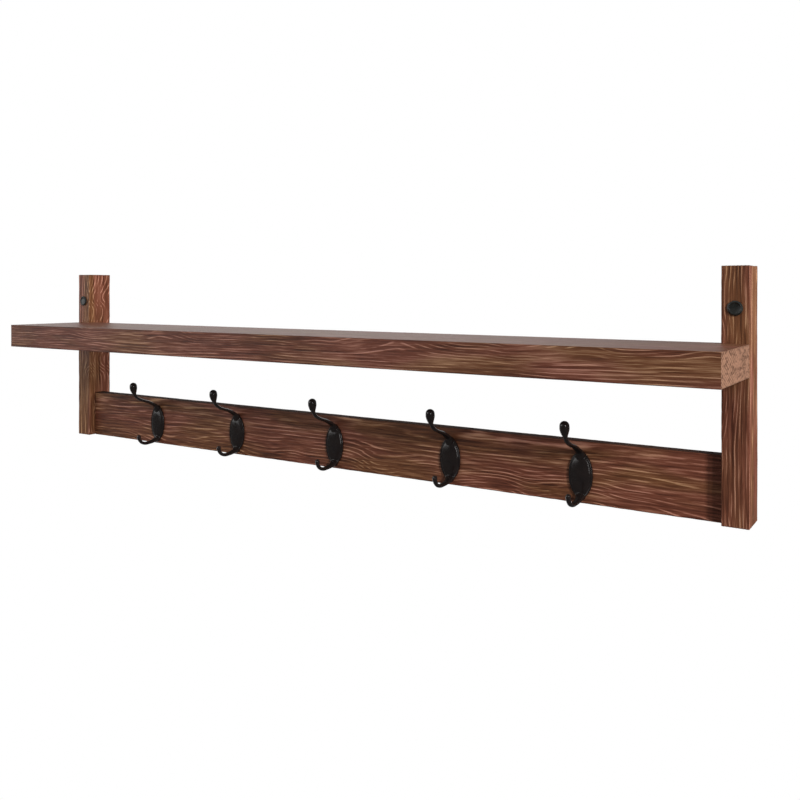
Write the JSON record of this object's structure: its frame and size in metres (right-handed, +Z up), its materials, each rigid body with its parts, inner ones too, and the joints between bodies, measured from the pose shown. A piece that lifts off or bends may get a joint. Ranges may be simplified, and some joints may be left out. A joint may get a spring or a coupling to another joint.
{
  "type": "wall hook rack with shelf",
  "caption": "Stained wood wall rack: a shelf board on two posts, with a lower rail of black double coat hooks.",
  "frame": {"origin": "on the wall plane, midway between the two wall-screw holes", "axes": "+X along the rack to the right as seen from the room, +Y into the wall, +Z up"},
  "size_m": [1, 0.1553, 0.251],
  "materials": {
    "shelf_wood": "dark walnut stain, brushed grain, satin",
    "rail_wood": "dark walnut stain, brushed grain, satin",
    "post_wood": "dark walnut stain, brushed grain, satin",
    "hook_metal": "gloss black enamel on a casting",
    "cap_plastic": "black moulded, soft sheen",
    "screw_steel": "black-bronze plated"
  },
  "bodies": {
    "root": {"shelf_board": "shelf_wood", "hook_rail": "rail_wood", "left_post": "post_wood", "left_wall_screw_cap": "cap_plastic", "left_lower_shelf_screw": "screw_steel", "left_lower_rail_screw": "screw_steel", "left_upper_shelf_screw": "screw_steel", "left_upper_rail_screw": "screw_steel", "right_post": "post_wood", "right_wall_screw_cap": "cap_plastic", "right_lower_shelf_screw": "screw_steel", "right_lower_rail_screw": "screw_steel", "right_upper_shelf_screw": "screw_steel", "right_upper_rail_screw": "screw_steel", "hook_1": "hook_metal", "hook_1_lower_screw": "screw_steel", "hook_1_upper_screw": "screw_steel", "hook_2": "hook_metal", "hook_2_lower_screw": "screw_steel", "hook_2_upper_screw": "screw_steel", "hook_3": "hook_metal", "hook_3_lower_screw": "screw_steel", "hook_3_upper_screw": "screw_steel", "hook_4": "hook_metal", "hook_4_lower_screw": "screw_steel", "hook_4_upper_screw": "screw_steel", "hook_5": "hook_metal", "hook_5_lower_screw": "screw_steel", "hook_5_upper_screw": "screw_steel"}
  },
  "joints": []
}
